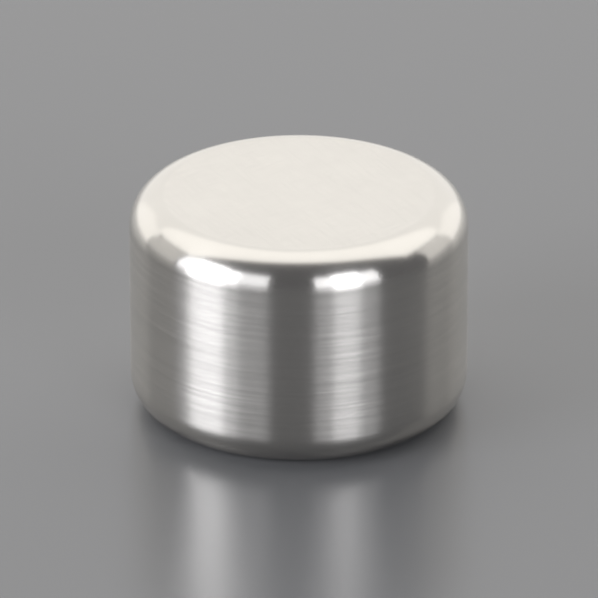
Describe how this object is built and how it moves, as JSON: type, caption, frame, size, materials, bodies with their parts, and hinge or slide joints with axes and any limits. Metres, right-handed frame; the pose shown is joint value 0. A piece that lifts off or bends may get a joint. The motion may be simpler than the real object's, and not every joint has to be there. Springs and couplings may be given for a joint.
{
  "type": "disc magnet",
  "caption": "Solid nickel plated disc magnet with flat pole faces, a straight ground wall and rounded edges; it holds steel parts or sits in a round pocket.",
  "frame": {"origin": "centre of the lower pole face, which the disc stands on", "axes": "+Z is the disc's own axis and its magnetic axis, from the lower pole face to the upper one; X and Y are any two directions across the disc, which is round"},
  "size_m": [0.006, 0.006, 0.004],
  "materials": {
    "nickel_plate": "bright nickel plate over a ground and tumbled surface: satin pole faces, fine grinding lines round the wall, smoother rounded edges"
  },
  "bodies": {
    "root": {"disc_magnet": "nickel_plate"}
  },
  "joints": []
}
